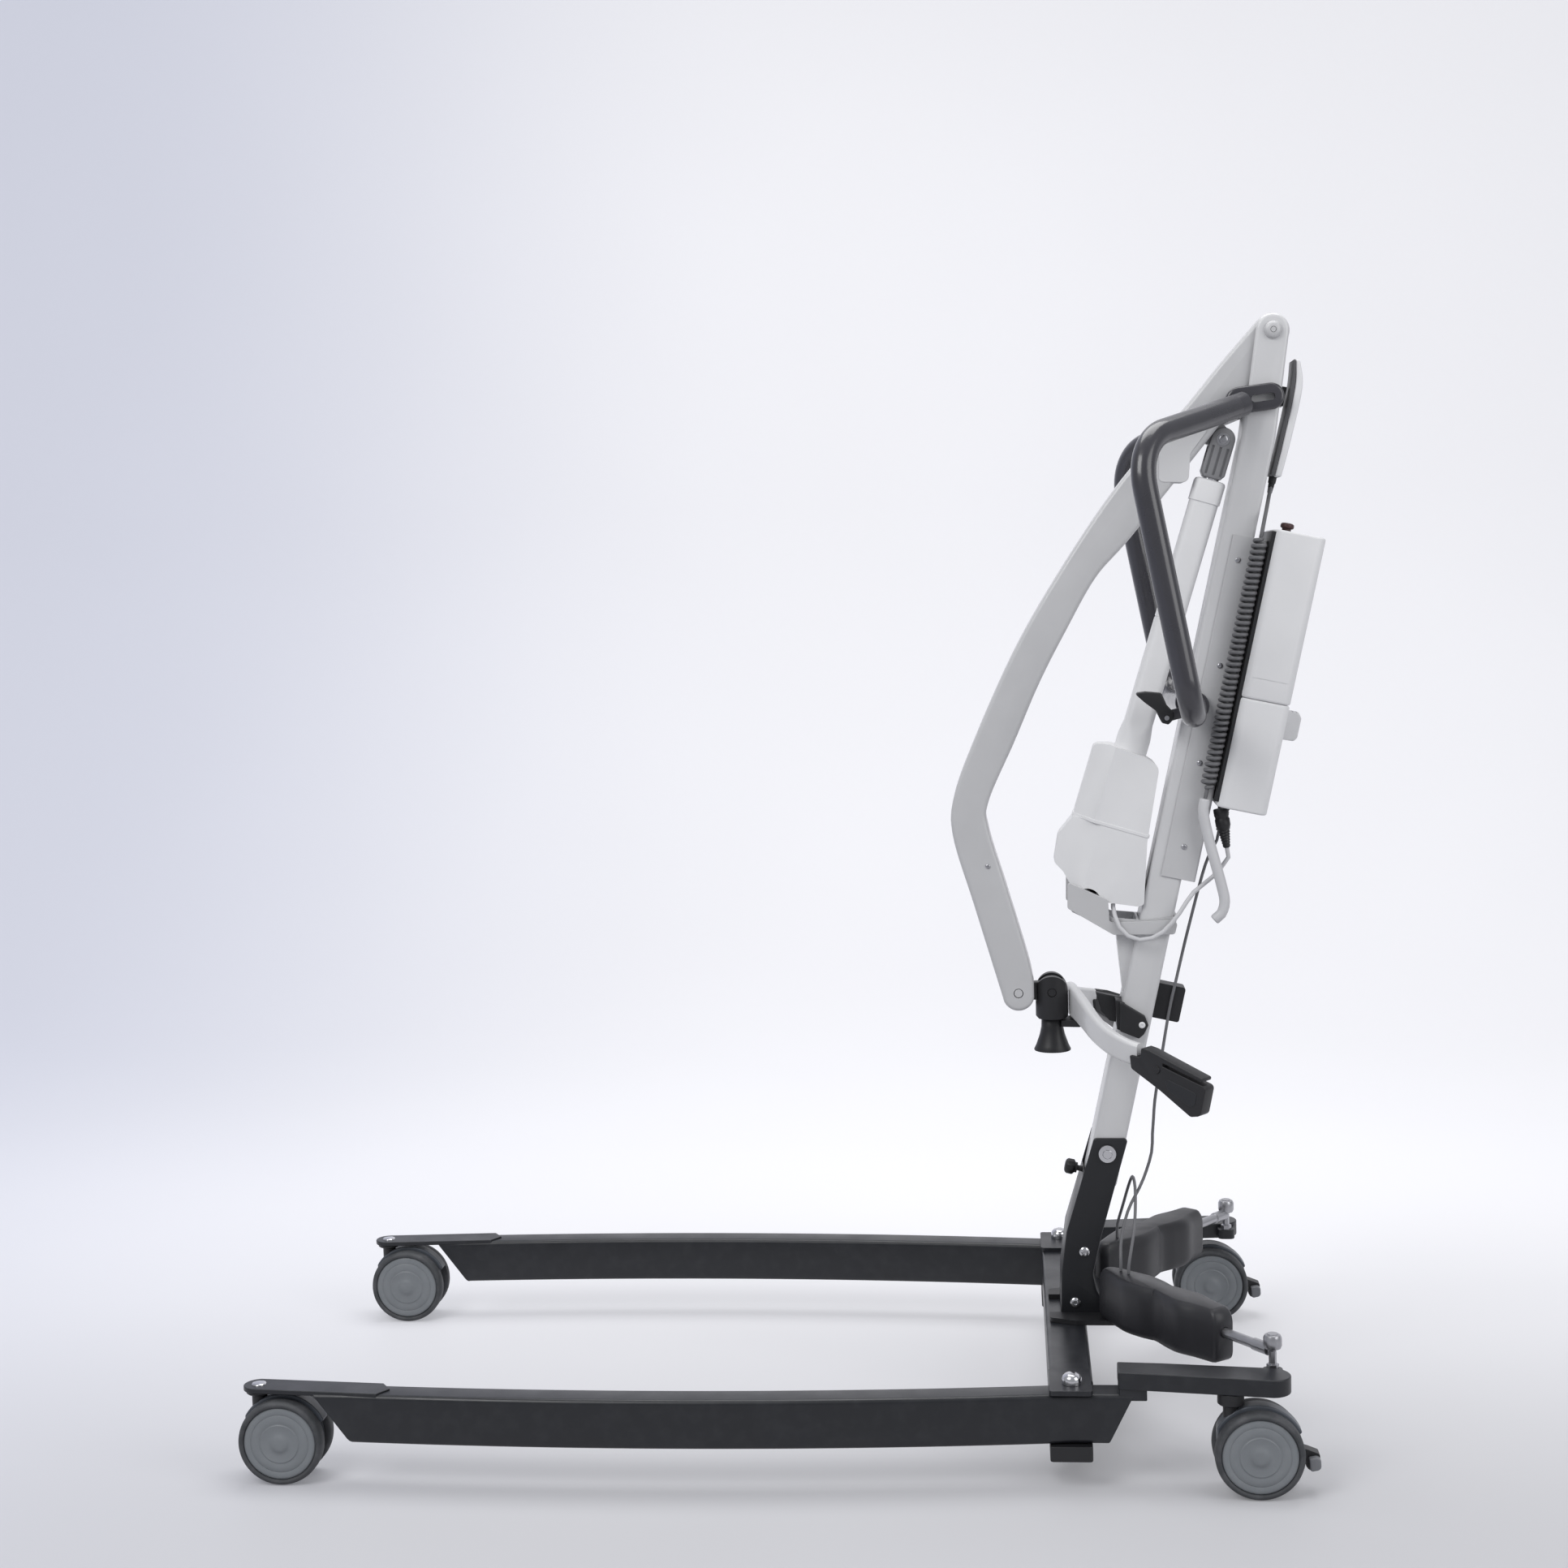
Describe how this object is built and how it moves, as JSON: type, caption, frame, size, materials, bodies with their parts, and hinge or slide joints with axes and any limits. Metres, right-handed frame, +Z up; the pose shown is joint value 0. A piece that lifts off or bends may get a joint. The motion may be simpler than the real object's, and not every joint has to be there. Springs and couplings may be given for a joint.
{
  "type": "portable patient lift",
  "caption": "Portable patient lift: opening legs on twin-wheel casters, folding mast, bowed boom, electric actuator, push handles, handset and a spreader bar with sling hooks.",
  "frame": {"origin": "centre of the bounding box, on the floor under the wheels", "axes": "+Z up; -X towards the open ends of the legs, +X towards the person who pushes; -Y is the left side"},
  "size_m": [1.2886, 0.682, 1.3371],
  "materials": {
    "light_paint": "satin light grey",
    "grey_plastic": "matt light grey",
    "charcoal_paint": "satin charcoal",
    "black_plastic": "matt black",
    "grip_gloss": "glossy dark grey",
    "wheel_grey": "grey hub with dark tread",
    "caster_black": "matt dark grey",
    "chrome": "bright",
    "dark_steel": "dark",
    "cable_grey": "grey",
    "stop_red": "red"
  },
  "bodies": {
    "base": {"base_crossbar": "charcoal_paint", "drive_bracket": "black_plastic", "pivot_bolt_left": "dark_steel", "pivot_bolt_right": "dark_steel", "mast_socket": "charcoal_paint", "fold_bolt": "dark_steel", "drive_cable_lower": "black_plastic", "drive_cable_link": "black_plastic"},
    "leg_left": {"leg_left": "charcoal_paint"},
    "drive_left": {"drive_housing_left": "black_plastic"},
    "drive_rod_left": {"drive_rod_left": "chrome"},
    "leg_right": {"leg_right": "charcoal_paint"},
    "drive_right": {"drive_housing_right": "black_plastic"},
    "drive_rod_right": {"drive_rod_right": "chrome"},
    "caster_front_left": {"caster_front_left": "caster_black"},
    "wheel_front_left": {"wheel_front_left": "wheel_grey"},
    "caster_front_right": {"caster_front_right": "caster_black"},
    "wheel_front_right": {"wheel_front_right": "wheel_grey"},
    "caster_rear_left": {"caster_rear_left": "caster_black"},
    "wheel_rear_left": {"wheel_rear_left": "wheel_grey"},
    "brake_rear_left": {"brake_rear_left": "black_plastic"},
    "caster_rear_right": {"caster_rear_right": "caster_black"},
    "wheel_rear_right": {"wheel_rear_right": "wheel_grey"},
    "brake_rear_right": {"brake_rear_right": "black_plastic"},
    "mast": {"mast": "light_paint", "boom_pivot_bolt": "dark_steel", "box_channel": "light_paint", "actuator_bracket": "light_paint", "lower_pivot_bolt": "dark_steel", "handle_left": "grip_gloss", "handle_right": "grip_gloss", "control_box": "grey_plastic", "battery": "grey_plastic", "handset": "grey_plastic", "handset_hook": "black_plastic", "cable_hook": "cable_grey", "actuator_plug": "black_plastic", "drive_plug": "black_plastic", "cable_clip": "black_plastic", "curly_cord": "cable_grey", "actuator_cable": "cable_grey", "drive_cable_upper": "black_plastic"},
    "lock_knob": {"lock_knob": "black_plastic"},
    "handle_lever": {"handle_lever": "black_plastic"},
    "battery_latch": {"battery_latch": "grey_plastic"},
    "stop_button": {"stop_button": "stop_red"},
    "button_up": {"button_up": "black_plastic"},
    "button_down": {"button_down": "black_plastic"},
    "boom": {"boom": "light_paint", "hanger_bracket": "black_plastic"},
    "actuator": {"motor_housing": "grey_plastic", "actuator_tube": "grey_plastic"},
    "actuator_rod": {"actuator_rod": "chrome"},
    "yoke": {"spreader_yoke": "black_plastic"},
    "spreader": {"spreader_hub": "black_plastic", "spreader_bar": "light_paint", "hook_left": "black_plastic", "hook_right": "black_plastic"}
  },
  "joints": [
    {"name": "leg_left_swing", "type": "hinge", "parent": "base", "child": "leg_left", "pos_m": [0.32291, -0.29, 0.08], "axis": [0, 0, 1], "range_deg": [0, 11.5]},
    {"name": "drive_left_turn", "type": "hinge", "parent": "base", "child": "drive_left", "pos_m": [0.37691, -0.056, 0.15], "axis": [0, 0, 1], "range_deg": [0, 5.24]},
    {"name": "drive_left_stroke", "type": "slide", "parent": "drive_left", "child": "drive_rod_left", "axis": [0.6106, -0.792, 0], "range_m": [-0.03861, 0]},
    {"name": "leg_right_swing", "type": "hinge", "parent": "base", "child": "leg_right", "pos_m": [0.32291, 0.29, 0.08], "axis": [0, 0, 1], "range_deg": [-11.5, 0]},
    {"name": "drive_right_turn", "type": "hinge", "parent": "base", "child": "drive_right", "pos_m": [0.37691, 0.056, 0.15], "axis": [0, 0, 1], "range_deg": [-5.24, 0]},
    {"name": "drive_right_stroke", "type": "slide", "parent": "drive_right", "child": "drive_rod_right", "axis": [0.6106, 0.792, 0], "range_m": [-0.03861, 0]},
    {"name": "caster_front_left_swivel", "type": "hinge", "parent": "leg_left", "child": "caster_front_left", "pos_m": [-0.62509, -0.296, 0.1], "axis": [0, 0, 1], "continuous": true},
    {"name": "wheel_front_left_spin", "type": "hinge", "parent": "caster_front_left", "child": "wheel_front_left", "pos_m": [-0.59509, -0.296, 0.05], "axis": [0, 1, 0], "continuous": true},
    {"name": "caster_front_right_swivel", "type": "hinge", "parent": "leg_right", "child": "caster_front_right", "pos_m": [-0.62509, 0.296, 0.1], "axis": [0, 0, 1], "continuous": true},
    {"name": "wheel_front_right_spin", "type": "hinge", "parent": "caster_front_right", "child": "wheel_front_right", "pos_m": [-0.59509, 0.296, 0.05], "axis": [0, 1, 0], "continuous": true},
    {"name": "caster_rear_left_swivel", "type": "hinge", "parent": "leg_left", "child": "caster_rear_left", "pos_m": [0.49941, -0.311, 0.1], "axis": [0, 0, 1], "continuous": true},
    {"name": "wheel_rear_left_spin", "type": "hinge", "parent": "caster_rear_left", "child": "wheel_rear_left", "pos_m": [0.52941, -0.311, 0.05], "axis": [0, 1, 0], "continuous": true},
    {"name": "brake_rear_left_pedal", "type": "hinge", "parent": "caster_rear_left", "child": "brake_rear_left", "pos_m": [0.57191, -0.311, 0.051], "axis": [0, 1, 0], "range_deg": [0, 12]},
    {"name": "caster_rear_right_swivel", "type": "hinge", "parent": "leg_right", "child": "caster_rear_right", "pos_m": [0.49941, 0.311, 0.1], "axis": [0, 0, 1], "continuous": true},
    {"name": "wheel_rear_right_spin", "type": "hinge", "parent": "caster_rear_right", "child": "wheel_rear_right", "pos_m": [0.52941, 0.311, 0.05], "axis": [0, 1, 0], "continuous": true},
    {"name": "brake_rear_right_pedal", "type": "hinge", "parent": "caster_rear_right", "child": "brake_rear_right", "pos_m": [0.57191, 0.311, 0.051], "axis": [0, 1, 0], "range_deg": [0, 12]},
    {"name": "mast_fold", "type": "hinge", "parent": "base", "child": "mast", "pos_m": [0.37691, 0, 0.318], "axis": [0, 1, 0], "range_deg": [-95, 0]},
    {"name": "lock_knob_pull", "type": "slide", "parent": "base", "child": "lock_knob", "axis": [-0.9767, 0, 0.2147], "range_m": [0, 0.008], "stiffness_N_per_m": 600},
    {"name": "handle_lever_turn", "type": "hinge", "parent": "mast", "child": "handle_lever", "pos_m": [0.45391, -0.052, 0.8575], "axis": [0, 1, 0], "range_deg": [0, 40]},
    {"name": "battery_latch_slide", "type": "slide", "parent": "mast", "child": "battery_latch", "axis": [-0.2147, 0, -0.9767], "range_m": [0, 0.004], "stiffness_N_per_m": 400},
    {"name": "stop_button_press", "type": "slide", "parent": "mast", "child": "stop_button", "axis": [-0.2147, 0, -0.9767], "range_m": [0, 0.003], "stiffness_N_per_m": 500},
    {"name": "button_up_press", "type": "slide", "parent": "mast", "child": "button_up", "axis": [-0.9767, 0, 0.2147], "range_m": [0, 0.001], "stiffness_N_per_m": 400},
    {"name": "button_down_press", "type": "slide", "parent": "mast", "child": "button_down", "axis": [-0.9767, 0, 0.2147], "range_m": [0, 0.001], "stiffness_N_per_m": 400},
    {"name": "boom_lift", "type": "hinge", "parent": "mast", "child": "boom", "pos_m": [0.58601, 0, 1.3161], "axis": [0, 1, 0], "range_deg": [0, 93]},
    {"name": "actuator_tilt", "type": "hinge", "parent": "mast", "child": "actuator", "pos_m": [0.35691, 0, 0.632], "axis": [0, 1, 0], "range_deg": [-9.07, 0]},
    {"name": "actuator_stroke", "type": "slide", "parent": "actuator", "child": "actuator_rod", "axis": [0.2935, 0, 0.956], "range_m": [0, 0.17347]},
    {"name": "hanger_tilt", "type": "hinge", "parent": "boom", "child": "yoke", "pos_m": [0.31241, 0, 0.517], "axis": [0, 1, 0], "range_deg": [-93, 0]},
    {"name": "spreader_swivel", "type": "hinge", "parent": "yoke", "child": "spreader", "pos_m": [0.31241, 0, 0.467], "axis": [0, 0, 1], "range_deg": [-38, 30]}
  ],
  "couplings": [
    {"joint": "drive_left_turn", "follows": "leg_left_swing", "ratio": 0.45535},
    {"joint": "drive_left_stroke", "follows": "leg_left_swing", "m_per_rad": -0.19237},
    {"joint": "drive_right_turn", "follows": "leg_left_swing", "ratio": -0.45535},
    {"joint": "drive_right_stroke", "follows": "leg_left_swing", "m_per_rad": -0.19237},
    {"joint": "leg_right_swing", "follows": "leg_left_swing", "ratio": -1},
    {"joint": "actuator_tilt", "follows": "boom_lift", "ratio": -0.097505},
    {"joint": "actuator_stroke", "follows": "boom_lift", "m_per_rad": 0.10687},
    {"joint": "hanger_tilt", "follows": "boom_lift", "ratio": -1}
  ]
}
